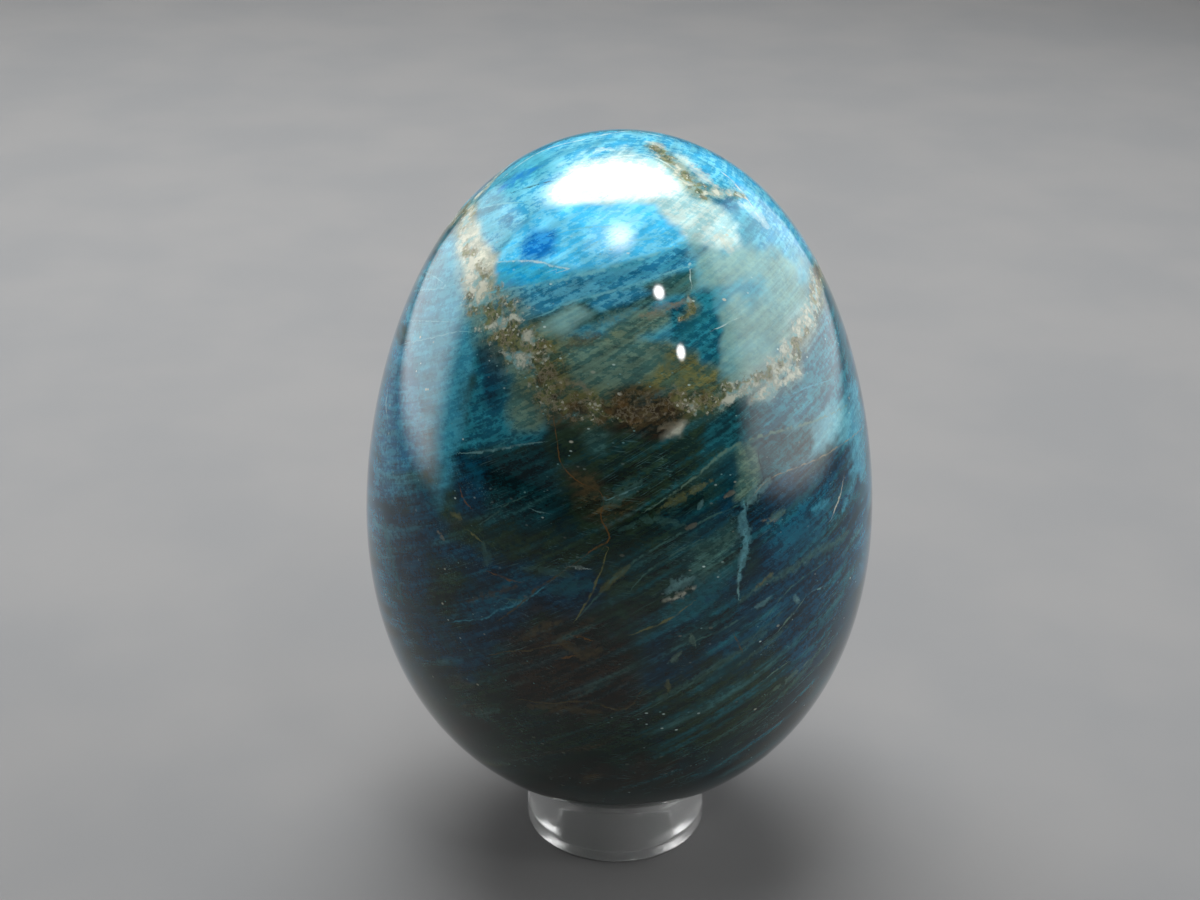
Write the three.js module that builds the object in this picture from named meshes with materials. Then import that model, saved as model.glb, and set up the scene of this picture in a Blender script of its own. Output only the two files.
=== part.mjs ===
// Polished stone egg resting, blunt end down, in a short clear ring stand.
// Millimetres, +Z up. The origin is the centre of the ring's base.

import * as THREE from 'three';

// Egg: overall size, then the numbers that turn an ellipse into its profile
const eggHeight = 70.6;
const eggBreadth = 51;
const eggTaper = 0.111; // moves breadth from the narrow upper end to the blunt lower end
const eggEndFullness = 0.068; // swells both ends
const eggTipRoundness = 0.06; // keeps the narrow end round and draws the blunt end in

// Ring: a slice of thick-walled clear tube with polished, rounded rims
const ringOuterDiameter = 19.05;
const ringBoreDiameter = 12.7;
const ringHeight = 6.35;
const ringShoulderRadius = 1; // outer top rim
const ringSeatRadius = 0.6; // inner top rim, which carries the egg
const ringFootRadius = 0.3; // both bottom rims

// Running gap between the egg and the rim that it rests on
const seatClearance = 0.15;

// Faceting
const turnSteps = 72;
const eggArchSteps = 42;
const rimArcSteps = 3; // pairs of chords on each rounded rim

// The egg's profile. The angle t runs from 0 at the top to pi at the bottom.

function eggSwell(t) {
  const c = Math.cos(t);
  return 1 - eggTaper * c + eggEndFullness * c * c + eggTipRoundness * c * c * c;
}

function swollenSine(t) {
  return Math.sin(t) * eggSwell(t);
}

// The angle between low and high at which the rising function is zero
function bisect(rising, low, high) {
  for (let halving = 0; halving < 60; halving += 1) {
    const middle = (low + high) / 2;
    if (rising(middle) < 0) {
      low = middle;
    } else {
      high = middle;
    }
  }
  return (low + high) / 2;
}

const smallAngle = 1e-5;

function falling(t) {
  return swollenSine(t - smallAngle) - swollenSine(t + smallAngle);
}

const widestAngle = bisect(falling, Math.PI / 4, (3 * Math.PI) / 4);
const breadthScale = eggBreadth / 2 / swollenSine(widestAngle);

function eggProfile(t) {
  return new THREE.Vector2(breadthScale * swollenSine(t), (eggHeight / 2) * Math.cos(t));
}

// Outward unit normal of the profile
function eggNormal(t) {
  const step = eggProfile(t + smallAngle).sub(eggProfile(t - smallAngle));
  return new THREE.Vector2(-step.y, step.x).normalize();
}

// Seat: the egg settles until the rounded inner rim of the ring touches it all round

const ringOuterRadius = ringOuterDiameter / 2;
const ringBoreRadius = ringBoreDiameter / 2;
const seatArcCentre = new THREE.Vector2(ringBoreRadius + ringSeatRadius, ringHeight - ringSeatRadius);
const seatReach = ringSeatRadius + seatClearance;

// The profile pushed outward by the rim's radius and the gap
function eggOffset(t) {
  return eggProfile(t).addScaledVector(eggNormal(t), seatReach);
}

function insideSeatArc(t) {
  return seatArcCentre.x - eggOffset(t).x;
}

const seatAngle = bisect(insideSeatArc, widestAngle, Math.PI - smallAngle);
const eggCentreHeight = seatArcCentre.y - eggOffset(seatAngle).y;

// Turns a profile of radius and height about the vertical axis
function turned(profile) {
  const geometry = new THREE.LatheGeometry(profile, turnSteps);
  geometry.rotateX(Math.PI / 2);
  return geometry;
}

// The profile from the bottom to the top, with a ring of facets exactly at the widest place
function stoneEgg() {
  const lowerSteps = Math.round((eggArchSteps * (Math.PI - widestAngle)) / Math.PI);
  const upperSteps = eggArchSteps - lowerSteps;
  const profile = [];
  for (let step = 0; step <= lowerSteps; step += 1) {
    profile.push(eggProfile(THREE.MathUtils.lerp(Math.PI, widestAngle, step / lowerSteps)));
  }
  for (let step = 1; step <= upperSteps; step += 1) {
    profile.push(eggProfile(THREE.MathUtils.lerp(widestAngle, 0, step / upperSteps)));
  }
  profile[0].x = 0;
  profile[profile.length - 1].x = 0;

  const material = new THREE.MeshStandardMaterial({ color: 0x1f5468, roughness: 0.12, metalness: 0 });
  const mesh = new THREE.Mesh(turned(profile), material);
  mesh.name = 'stone_egg';
  mesh.position.z = eggCentreHeight;
  return mesh;
}

// The tube wall's section, taken round from the base with every rim rounded
function ringStand() {
  const quarter = Math.PI / 2;
  const half = Math.PI;
  const section = new THREE.Path();
  section.moveTo(ringBoreRadius + ringFootRadius, 0);
  section.lineTo(ringOuterRadius - ringFootRadius, 0);
  section.absarc(ringOuterRadius - ringFootRadius, ringFootRadius, ringFootRadius, -quarter, 0);
  section.absarc(
    ringOuterRadius - ringShoulderRadius,
    ringHeight - ringShoulderRadius,
    ringShoulderRadius,
    0,
    quarter,
  );
  section.absarc(seatArcCentre.x, seatArcCentre.y, ringSeatRadius, quarter, half);
  section.absarc(ringBoreRadius + ringFootRadius, ringFootRadius, ringFootRadius, half, half + quarter);
  const profile = section.getPoints(rimArcSteps);
  profile[profile.length - 1].copy(profile[0]);

  const material = new THREE.MeshStandardMaterial({
    color: 0xeef3f2,
    roughness: 0.05,
    metalness: 0,
    transparent: true,
    opacity: 0.35,
  });
  const mesh = new THREE.Mesh(turned(profile), material);
  mesh.name = 'ring_stand';
  return mesh;
}

const eggOnStand = new THREE.Group();
eggOnStand.add(ringStand());
eggOnStand.add(stoneEgg());

export default eggOnStand;
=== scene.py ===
import math

import bpy
import numpy as np
from mathutils import Matrix, Vector


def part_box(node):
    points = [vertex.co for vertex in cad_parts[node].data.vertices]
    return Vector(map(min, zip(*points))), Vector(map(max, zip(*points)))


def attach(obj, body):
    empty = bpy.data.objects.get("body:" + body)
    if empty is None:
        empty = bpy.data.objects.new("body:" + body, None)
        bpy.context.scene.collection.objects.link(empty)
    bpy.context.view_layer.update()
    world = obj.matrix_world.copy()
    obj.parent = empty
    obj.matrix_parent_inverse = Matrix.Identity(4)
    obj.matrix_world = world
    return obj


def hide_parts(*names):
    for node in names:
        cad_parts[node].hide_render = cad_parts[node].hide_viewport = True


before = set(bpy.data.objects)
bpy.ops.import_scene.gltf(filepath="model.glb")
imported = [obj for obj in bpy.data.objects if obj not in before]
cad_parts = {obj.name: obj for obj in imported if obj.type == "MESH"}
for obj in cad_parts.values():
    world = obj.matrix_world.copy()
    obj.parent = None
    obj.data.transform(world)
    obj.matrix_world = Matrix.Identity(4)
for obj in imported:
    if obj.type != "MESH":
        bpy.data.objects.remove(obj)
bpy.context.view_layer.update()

MM = 0.001


def add_object(name, data):
    piece = bpy.data.objects.new(name, data)
    bpy.context.scene.collection.objects.link(piece)
    return piece


def unit(vectors):
    return vectors / np.linalg.norm(vectors, axis=-1, keepdims=True)


def turned_to(*axes):
    """A rotation matrix, from the directions that the three axes turn to."""
    return Matrix(np.stack(axes, axis=1).tolist())


def placed(turn, place):
    """A matrix for a rotation and a place in millimetres."""
    matrix = turn.to_4x4()
    matrix.translation = Vector(np.array(place) * MM)
    return matrix


def box_in_mm(piece):
    """The low and the high corner of a piece's box."""
    return (np.array(corner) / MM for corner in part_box(piece))


# Photograph's camera, in pixels, degrees and millimetres of the shared frame

PHOTO_WIDTH = 1200
PHOTO_HEIGHT = 900
SENSOR_WIDTH = 36
LENS = 60
FOCAL_PX = PHOTO_WIDTH * LENS / SENSOR_WIDTH
CAMERA_PITCH = math.radians(25.96)
CAMERA_ROLL = math.radians(0.5)
CAMERA_DISTANCE = 200.3
LOOK_AT = np.array([-1.98, 0.0, 43.73])
EGG_MIDDLE_PX = (620, 470)

camera_back = np.array([0.0, -math.cos(CAMERA_PITCH), math.sin(CAMERA_PITCH)])
level_right = np.array([1.0, 0.0, 0.0])
level_up = np.cross(camera_back, level_right)
camera_right = level_right * math.cos(CAMERA_ROLL) + level_up * math.sin(CAMERA_ROLL)
camera_up = level_up * math.cos(CAMERA_ROLL) - level_right * math.sin(CAMERA_ROLL)
camera_eye = LOOK_AT + camera_back * CAMERA_DISTANCE


def make_camera():
    data = bpy.data.cameras.new("photo_camera")
    data.sensor_width = SENSOR_WIDTH
    data.lens = LENS
    data.clip_start = 0.01
    data.clip_end = 50
    camera = add_object("photo_camera", data)
    camera.matrix_world = placed(turned_to(camera_right, camera_up, camera_back), camera_eye)
    bpy.context.scene.camera = camera


# Egg's form in millimetres: the profile of the frame's egg, on the box that it fills

EGG_TAPER = 0.111
EGG_END_FULLNESS = 0.068
EGG_TIP_ROUNDNESS = 0.06

egg_low, egg_high = box_in_mm("stone_egg")
egg_centre_z = (egg_low[2] + egg_high[2]) / 2
egg_half_height = (egg_high[2] - egg_low[2]) / 2
egg_half_breadth = (egg_high[0] - egg_low[0]) / 2


def swollen_sine(angle):
    c = np.cos(angle)
    return np.sin(angle) * (1 - EGG_TAPER * c + EGG_END_FULLNESS * c**2 + EGG_TIP_ROUNDNESS * c**3)


breadth_scale = egg_half_breadth / swollen_sine(np.linspace(0, math.pi, 100001)).max()


def egg_radius(z):
    angle = np.arccos(np.clip((z - egg_centre_z) / egg_half_height, -1, 1))
    return breadth_scale * swollen_sine(angle)


def egg_surface(directions):
    """Points on the egg for unit vectors, by their polar angle and their azimuth."""
    angle = np.arccos(np.clip(directions[:, 2], -1, 1))
    level = np.maximum(np.hypot(directions[:, 0], directions[:, 1]), 1e-12)
    radius = breadth_scale * swollen_sine(angle) / level
    height = egg_centre_z + egg_half_height * np.cos(angle)
    return np.stack([radius * directions[:, 0], radius * directions[:, 1], height], axis=1)


def egg_normals(points):
    """Outward unit normals at points on the egg."""
    angle = np.arccos(np.clip((points[:, 2] - egg_centre_z) / egg_half_height, -1, 1))
    nudge = 1e-4
    d_radius = breadth_scale * (swollen_sine(angle + nudge) - swollen_sine(angle - nudge))
    d_height = egg_half_height * (np.cos(angle + nudge) - np.cos(angle - nudge))
    slope = -d_height / np.maximum(np.hypot(points[:, 0], points[:, 1]), 1e-9)
    return unit(np.stack([slope * points[:, 0], slope * points[:, 1], d_radius], axis=1))


# Places on the egg, as points in millimetres


def seen(u, v):
    """The egg's point that the photograph shows at a pixel, or the nearest one in sight."""
    for inward in np.linspace(0, 0.1, 41):
        u_in = u + (EGG_MIDDLE_PX[0] - u) * inward
        v_in = v + (EGG_MIDDLE_PX[1] - v) * inward
        ray = camera_right * (u_in - PHOTO_WIDTH / 2) + camera_up * (PHOTO_HEIGHT / 2 - v_in)
        ray = (ray - camera_back * FOCAL_PX) / FOCAL_PX
        depths = np.linspace(150, 250, 4001)
        along = camera_eye + depths[:, None] * ray
        inside = np.hypot(along[:, 0], along[:, 1]) < egg_radius(along[:, 2])
        inside &= np.abs(along[:, 2] - egg_centre_z) < egg_half_height
        if inside.any():
            return along[np.argmax(inside)]
    raise ValueError(f"pixel {u}, {v} is not on the egg")


def around(azimuth, height):
    """The egg's point at an azimuth in degrees, from the viewer's side towards +X, and a height."""
    turn = math.radians(azimuth)
    radius = egg_radius(height)
    return np.stack([radius * math.sin(turn), -radius * math.cos(turn), height], axis=-1)


def on_egg(place, rows):
    """Rows of four numbers, with the first two turned into a point on the egg by that function."""
    return [(place(u, v), *rest) for u, v, *rest in rows]


# Meshes


def sphere_grid(steps):
    """Unit vectors and quads of a cube blown up to a sphere, with that many quads along a cube's edge."""
    line = np.arange(steps + 1)
    a, b = (grid.ravel() for grid in np.meshgrid(line, line, indexing="ij"))
    near, far = np.zeros_like(a), np.full_like(a, steps)
    sides = [(a, b, far), (b, a, near), (far, a, b), (near, b, a), (b, far, a), (a, near, b)]
    lattice = np.concatenate([np.stack(side, axis=1) for side in sides])
    corners, number = np.unique(lattice, axis=0, return_inverse=True)
    number = number.reshape(len(sides), steps + 1, steps + 1)
    quad = [number[:, :-1, :-1], number[:, 1:, :-1], number[:, 1:, 1:], number[:, :-1, 1:]]
    cube = np.tan(math.pi / 4 * (2 * corners / steps - 1))
    return unit(cube), np.stack(quad, axis=-1).reshape(-1, 4)


def mesh_object(name, points, faces, material):
    mesh = bpy.data.meshes.new(name)
    mesh.from_pydata((np.asarray(points) * MM).tolist(), [], np.asarray(faces).tolist())
    mesh.polygons.foreach_set("use_smooth", [True] * len(mesh.polygons))
    mesh.materials.append(material)
    mesh.update()
    return add_object(name, mesh)


# Smooth seeded noise, and masks


def gradient_noise(order, gradients, points):
    """Noise of about -1 to 1, with features one unit across."""
    cell = np.floor(points).astype(int)
    inside = points - cell
    fade = inside**3 * (inside * (inside * 6 - 15) + 10)
    total = np.zeros(len(points))
    for corner in np.ndindex(2, 2, 2):
        index = 0
        for step in (cell + corner).T:
            index = order[(index + step) & 255]
        weight = np.prod(np.where(corner, fade, 1 - fade), axis=1)
        total += weight * np.einsum("ij,ij->i", gradients[index], inside - corner)
    return total * 1.6


def fractal(seed, points, size, octaves=3):
    """Seeded noise with features of that size in millimetres and finer ones of half the strength."""
    random = np.random.default_rng(seed)
    order = random.permutation(256)
    gradients = unit(random.normal(size=(256, 3)))
    total = np.zeros(len(points))
    for octave in range(octaves):
        places = points / size * 2**octave + octave * 17.3
        total += gradient_noise(order, gradients, places) / 2**octave
    return total


def ramp(low, high, value):
    """A smooth step from 0 at low to 1 at high. It falls instead where low is the greater."""
    t = np.clip((value - low) / (high - low), 0, 1)
    return t * t * (3 - 2 * t)


def curve_through(points, steps=5):
    """A smooth curve through points."""
    points = np.array(points)
    padded = np.concatenate([2 * points[:1] - points[1:2], points, 2 * points[-1:] - points[-2:-1]])
    curve = []
    for before, start, end, after in zip(padded, padded[1:], padded[2:], padded[3:]):
        bend = 2 * before - 5 * start + 4 * end - after
        twist = 3 * start - before - 3 * end + after
        for t in np.arange(steps) / steps:
            curve.append(start + ((end - before) * t + bend * t**2 + twist * t**3) / 2)
    return np.array(curve + [points[-1]])


def beside(points, normals, curve):
    """Signed distance from each point to a curve, positive on its left seen from outside, and the
    share of the curve's length where it comes nearest."""
    distance = np.full(len(points), np.inf)
    side = np.ones(len(points))
    share = np.zeros(len(points))
    steps = np.linalg.norm(np.diff(curve, axis=0), axis=1)
    starts = np.concatenate([[0], np.cumsum(steps)[:-1]]) / steps.sum()
    for start, end, length, start_share in zip(curve, curve[1:], steps, starts):
        along = unit(end - start)
        offset = points - start
        t = np.clip(offset @ along, 0, length)
        away = offset - t[:, None] * along
        gap = np.linalg.norm(away, axis=1)
        nearer = gap < distance
        distance[nearer] = gap[nearer]
        left = np.einsum("ij,ij->i", np.cross(normals, along), offset)
        side[nearer] = np.sign(left[nearer])
        share[nearer] = start_share + t[nearer] / steps.sum()
    return distance * side, share


# Tones of the stone on the 0 to 255 scale: a colour, and a second one that is marbled through it


def tone(*levels):
    """Linear light of a colour and of the one marbled through it, from red, green and blue twice over."""
    level = np.array(levels) / 255
    return np.where(level <= 0.04045, level / 12.92, ((level + 0.055) / 1.055) ** 2.4)


ICE = tone(190, 216, 212, 156, 202, 206)
SKY = tone(104, 184, 206, 52, 148, 188)
AZURE = tone(66, 184, 232, 112, 206, 238)
LAKE = tone(26, 160, 212, 60, 176, 212)
COBALT = tone(8, 108, 186, 44, 144, 206)
REEF = tone(82, 164, 190, 38, 122, 156)
STEEL = tone(52, 136, 164, 22, 98, 134)
TURQUOISE = tone(66, 156, 178, 48, 132, 158)
LAGOON = tone(108, 176, 188, 90, 162, 178)
MIST = tone(110, 158, 160, 122, 166, 162)
LOCH = tone(34, 128, 146, 10, 88, 110)
SAGE = tone(102, 134, 118, 68, 108, 102)
SPRUCE = tone(64, 106, 100, 38, 78, 76)
STRAIT = tone(8, 90, 114, 4, 62, 84)
TEAL = tone(24, 96, 106, 8, 66, 76)
DEEP_TEAL = tone(12, 64, 70, 4, 38, 44)
OCEAN = tone(2, 66, 92, 2, 44, 64)
NAVY = tone(2, 38, 50, 4, 60, 72)
PINE = tone(14, 46, 42, 36, 60, 42)
ABYSS = tone(6, 18, 19, 16, 34, 30)
UMBER = tone(48, 38, 24, 18, 28, 22)
BARK = tone(86, 76, 48, 44, 52, 38)
OLIVE = tone(116, 118, 72, 72, 98, 78)
MOSS = tone(126, 128, 74, 90, 106, 70)
TAN = tone(138, 130, 108, 98, 106, 92)
CREAM = tone(196, 198, 180, 168, 176, 160)
RUST = tone(116, 82, 40, 86, 58, 32)

# Grain: the stone's sheets rise to the right, and its fine fibres lie nearly level

SHEET_RISE = math.radians(31)
sheet_normal = unit(
    camera_up * math.cos(SHEET_RISE) - camera_right * math.sin(SHEET_RISE) + camera_back * 0.3
)
sheet_along = unit(np.cross(sheet_normal, camera_back))
sheet_across = np.cross(sheet_normal, sheet_along)


def sheets(seed, points, thickness, reach, octaves=3):
    """Noise in thin sheets of that thickness and reach, in millimetres."""
    grain = np.stack([sheet_normal / thickness, sheet_along / reach, sheet_across / reach])
    return fractal(seed, points @ grain.T, 1, octaves)


# Front zones: tone, softness of the edge in pixels, then x and y of each corner

FRONT_ZONES = [
    # Left limb and crown
    (STEEL, 12, 370, 360, 412, 330, 425, 420, 430, 470, 404, 480, 366, 450),
    (TURQUOISE, 16, 410, 330, 440, 240, 468, 212, 484, 300, 478, 350, 470, 400, 464, 470, 440, 505,
     424, 430),
    (SKY, 12, 500, 190, 560, 130, 620, 118, 690, 128, 700, 165, 650, 200, 560, 212, 520, 230),
    # Pale patch under the overhead tube's highlight on the crown: a painted highlight that makes that
    # highlight render white
    (ICE, 9, 548, 196, 566, 164, 620, 152, 680, 158, 698, 180, 690, 204, 620, 212, 560, 208),
    (TURQUOISE, 8, 470, 205, 530, 150, 560, 150, 540, 175, 500, 205, 480, 222),
    (SKY, 8, 690, 125, 740, 150, 790, 200, 812, 250, 780, 240, 735, 195, 700, 165),
    # Bright window under the crown, its dark band and its foot
    (AZURE, 3, 548, 205, 690, 203, 692, 240, 640, 258, 600, 268, 570, 268, 540, 262, 496, 262, 515, 232),
    (COBALT, 6, 521, 246, 532, 229, 556, 229, 556, 250, 536, 262, 521, 259),
    (AZURE, 9, 556, 222, 600, 214, 655, 222, 668, 246, 610, 264, 575, 262),
    (LAKE, 3, 496, 264, 540, 264, 572, 270, 560, 279, 530, 285, 496, 291, 490, 280),
    (REEF, 3, 496, 293, 560, 283, 600, 273, 640, 264, 690, 246, 693, 262, 640, 283, 600, 293, 560, 306,
     528, 320, 506, 306),
    (STEEL, 5, 590, 278, 640, 268, 688, 250, 690, 262, 650, 275, 600, 288),
    (SPRUCE, 4, 528, 322, 566, 306, 604, 294, 650, 283, 694, 266, 700, 290, 650, 305, 600, 320, 556, 336),
    (MIST, 5, 540, 322, 575, 304, 592, 314, 562, 336, 536, 340),
    (REEF, 4, 588, 304, 604, 292, 640, 286, 652, 292, 628, 306, 600, 312),
    (SAGE, 6, 600, 330, 630, 312, 668, 305, 690, 315, 660, 332, 620, 345),
    # Cream patches, and the hazy shoulder on the right
    (CREAM, 5, 456, 228, 470, 206, 480, 236, 496, 254, 494, 290, 480, 302, 466, 292, 460, 255),
    (ICE, 6, 655, 195, 700, 198, 722, 206, 734, 226, 744, 250, 715, 252, 690, 240, 660, 215),
    (MIST, 12, 694, 245, 760, 250, 800, 262, 808, 300, 790, 330, 760, 350, 722, 330, 698, 300),
    (TURQUOISE, 8, 700, 290, 760, 280, 780, 330, 750, 380, 722, 390, 705, 340),
    (MIST, 15, 708, 300, 772, 296, 792, 336, 762, 384, 724, 398, 712, 352),
    (LOCH, 4, 668, 300, 712, 288, 722, 330, 718, 365, 690, 362, 672, 335),
    # Olive ground along the vein
    (OLIVE, 8, 520, 330, 560, 340, 610, 332, 690, 352, 722, 375, 722, 398, 700, 404, 640, 412, 590, 410,
     556, 400, 540, 372),
    (SAGE, 8, 560, 345, 620, 335, 655, 345, 640, 385, 600, 395, 565, 375),
    (SAGE, 6, 604, 352, 640, 338, 664, 350, 655, 378, 622, 388, 604, 372),
    (OLIVE, 6, 672, 372, 690, 364, 712, 376, 704, 396, 684, 394),
    (BARK, 5, 608, 392, 640, 384, 668, 388, 660, 404, 625, 410),
    # Second window, on the left
    (LOCH, 5, 478, 350, 500, 340, 526, 356, 550, 390, 548, 425, 540, 442, 500, 449, 462, 452, 470, 400),
    (STRAIT, 5, 482, 352, 502, 346, 508, 380, 496, 412, 482, 408),
    (SAGE, 8, 516, 372, 545, 380, 551, 412, 538, 432, 512, 430, 508, 395),
    (LOCH, 4, 470, 398, 480, 390, 486, 430, 490, 446, 464, 450),
    (DEEP_TEAL, 10, 462, 455, 500, 452, 545, 446, 552, 480, 530, 510, 490, 530, 455, 500),
    (OCEAN, 8, 458, 456, 486, 456, 484, 510, 462, 520, 452, 490),
    # Dark heart
    (PINE, 8, 552, 412, 600, 414, 640, 416, 700, 410, 735, 402, 745, 430, 700, 480, 650, 520, 600, 560,
     560, 500, 548, 450),
    (CREAM, 4, 652, 424, 668, 418, 688, 422, 680, 434, 660, 436),
    (DEEP_TEAL, 10, 500, 460, 545, 452, 560, 480, 560, 520, 520, 530, 496, 500),
    (BARK, 12, 566, 470, 590, 478, 612, 500, 640, 505, 610, 525, 580, 510),
    (UMBER, 5, 636, 398, 700, 400, 690, 414, 655, 440, 618, 430, 612, 412),
    (SPRUCE, 7, 586, 430, 600, 424, 612, 434, 604, 452, 588, 448),
    # Right flank
    (TEAL, 7, 722, 405, 750, 400, 765, 410, 752, 440, 722, 450, 700, 460, 706, 425),
    (LOCH, 12, 760, 398, 800, 350, 835, 300, 852, 380, 858, 425, 815, 420, 765, 432),
    (LAGOON, 14, 806, 430, 850, 395, 862, 425, 845, 440, 815, 452, 780, 460),
    (TEAL, 4, 758, 450, 808, 426, 816, 440, 810, 455, 768, 478),
    (SAGE, 4, 738, 446, 756, 449, 762, 482, 748, 503, 736, 500, 738, 470),
    (OCEAN, 8, 768, 484, 826, 458, 858, 436, 866, 470, 860, 520, 830, 560, 790, 575, 756, 575, 752, 520),
    (TURQUOISE, 6, 846, 385, 862, 380, 870, 430, 866, 480, 852, 470, 848, 430),
    (SPRUCE, 8, 690, 545, 735, 520, 740, 560, 720, 585, 695, 590),
    # Lower half
    (STRAIT, 9, 405, 490, 425, 480, 445, 530, 430, 545, 408, 525),
    (STRAIT, 9, 770, 530, 800, 500, 826, 490, 832, 515, 805, 545, 775, 560),
    (OCEAN, 16, 640, 640, 700, 590, 760, 570, 850, 540, 855, 620, 800, 700, 720, 740, 660, 700),
    (DEEP_TEAL, 14, 660, 640, 700, 610, 750, 590, 740, 620, 700, 650, 670, 660),
    (PINE, 16, 640, 690, 700, 664, 776, 652, 800, 684, 744, 744, 660, 760),
    (OCEAN, 14, 384, 500, 420, 505, 462, 545, 520, 566, 552, 588, 520, 640, 470, 676, 430, 660, 396, 590),
    (PINE, 10, 432, 560, 470, 570, 480, 600, 455, 640, 428, 600),
    (STRAIT, 9, 448, 620, 470, 585, 520, 580, 545, 585, 520, 603, 498, 612),
    (OCEAN, 8, 524, 592, 545, 572, 580, 569, 604, 580, 596, 604, 572, 622, 540, 612),
    (UMBER, 16, 500, 640, 540, 612, 590, 615, 630, 650, 640, 710, 570, 720, 510, 700),
]


def pairs(numbers):
    """Places in the photograph, from their x and y in turn."""
    return np.reshape(numbers, (-1, 2)).astype(float)


def project(points):
    """Pixels of the photograph in which points lie."""
    offset = points - camera_eye
    depth = -(offset @ camera_back)
    u = PHOTO_WIDTH / 2 + FOCAL_PX * (offset @ camera_right) / depth
    v = PHOTO_HEIGHT / 2 - FOCAL_PX * (offset @ camera_up) / depth
    return np.stack([u, v], axis=1)


def inside_outline(places, corners):
    """Distance of each place in the plane from a closed outline, positive inside it."""
    gap = np.full(len(places), np.inf)
    inside = np.zeros(len(places), bool)
    for start, end in zip(corners, np.roll(corners, -1, axis=0)):
        side = end - start
        offset = places - start
        t = np.clip(offset @ side / (side @ side), 0, 1)
        gap = np.minimum(gap, np.linalg.norm(offset - t[:, None] * side, axis=1))
        if start[1] != end[1]:
            spans = (start[1] > places[:, 1]) != (end[1] > places[:, 1])
            crossing = start[0] + (places[:, 1] - start[1]) * side[0] / side[1]
            inside ^= spans & (places[:, 0] < crossing)
    return np.where(inside, gap, -gap)


LUMINANCE = np.array([0.2126, 0.7152, 0.0722])


class PaintedStone:
    """The egg's surface, with the colour and the traits of the stone at each of its points."""

    def __init__(self, points):
        self.points = points
        self.normals = egg_normals(points)
        self.pixels = project(points)
        self.facing = np.einsum("ij,ij->i", self.normals, unit(camera_eye - points))
        self.azimuth = np.degrees(np.arctan2(points[:, 0], -points[:, 1]))
        count = len(points)
        self.tone = np.zeros((count, 6))
        self.grit = np.full(count, -2.0)
        self.brown = np.zeros(count)
        self.streak = np.full(count, 0.5)
        self.glitter = np.full(count, 0.3)

    def lay(self, mask, layer):
        self.tone += mask[:, None] * (layer - self.tone)

    def lightness(self):
        return (self.tone[:, :3] + self.tone[:, 3:]) @ LUMINANCE / 2


# Turquoise crown's lower edge: azimuth in degrees and height in millimetres

CROWN_EDGE = [
    (-180, 47), (-150, 54), (-120, 61), (-100, 67), (-78, 69), (-60, 67), (-44, 64), (-21, 61),
    (3, 57.5), (27, 58), (45, 60), (60, 62), (80, 63), (100, 62), (125, 56), (150, 50), (180, 47),
]

# Bluer flanks: azimuth of the middle and reach in degrees, and height of the foot in millimetres

BLUE_FLANKS = [(-92, 55, 26), (88, 42, 34)]


def paint_all_round(stone):
    """The stone as it runs right round the egg: a turquoise crown on a dark blue body."""
    points = stone.points
    height = points[:, 2]
    drift = fractal(11, points, 9)
    layers = sheets(12, points, 1.7, 10)
    thin_layers = sheets(13, points, 0.7, 7)
    above = height - np.interp(stone.azimuth, *zip(*CROWN_EDGE)) + drift * 2
    blue_side = ramp(-0.5, 0.5, np.sin(np.radians(stone.azimuth - 15)) + drift * 0.4)
    lay = stone.lay
    stone.tone += PINE
    lay(blue_side, NAVY)
    lay(blue_side * ramp(-0.1, 0.7, drift + layers * 0.5) * ramp(12, 34, height), OCEAN)
    lay(ramp(0.15, 0.8, layers) * ramp(14, 34, height) * 0.8, DEEP_TEAL)
    lay(0.6 * ramp(0.1, 0.7, fractal(14, points, 7)), PINE)
    lay(0.5 * ramp(28, 10, height + drift * 7), ABYSS)
    lay(0.7 * ramp(0.2, 0.6, fractal(15, points, 9)) * ramp(50, 30, height), UMBER)
    lay(0.5 * ramp(0.3, 0.8, sheets(20, points, 1.6, 7)) * ramp(54, 34, height), BARK)
    for middle, reach, foot in BLUE_FLANKS:
        flank = ramp(reach, 0.4 * reach, np.abs(stone.azimuth - middle) + drift * 12)
        flank *= ramp(foot - 6, foot + 6, height + drift * 7)
        lay(flank * ramp(-0.5, 0.4, drift + layers * 0.5), STRAIT)
        lay(0.8 * flank * ramp(-0.1, 0.6, layers + 0.3), STEEL)
    shoulder = ramp(-9, -1, above)
    lay(shoulder * ramp(-0.5, 0.5, layers + 0.2), TEAL)
    lay(0.7 * shoulder * ramp(0.1, 0.7, fractal(16, points, 5)), SAGE)
    crown = ramp(-1, 2.5, above)
    lay(crown, TURQUOISE)
    lay(crown * ramp(-0.1, 0.6, layers), SKY)
    lay(crown * ramp(0.1, 0.7, fractal(17, points, 6)), STEEL)
    lay(0.6 * crown * ramp(0.4, 0.9, thin_layers), LAGOON)
    stone.glitter = ramp(-0.1, 0.6, fractal(19, points, 6))


def paint_front(stone):
    """The zones that the photograph shows, laid over the stone that runs round the egg."""
    wobble = sheets(21, stone.points, 1.1, 4) + 0.6 * fractal(22, stone.points, 1.5)
    in_sight = ramp(0.06, 0.22, stone.facing)
    for colour, softness, *corners in FRONT_ZONES:
        gap = inside_outline(stone.pixels, pairs(corners)) + wobble * softness * 0.7
        stone.lay(in_sight * ramp(-softness, softness, gap), colour)


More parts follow.
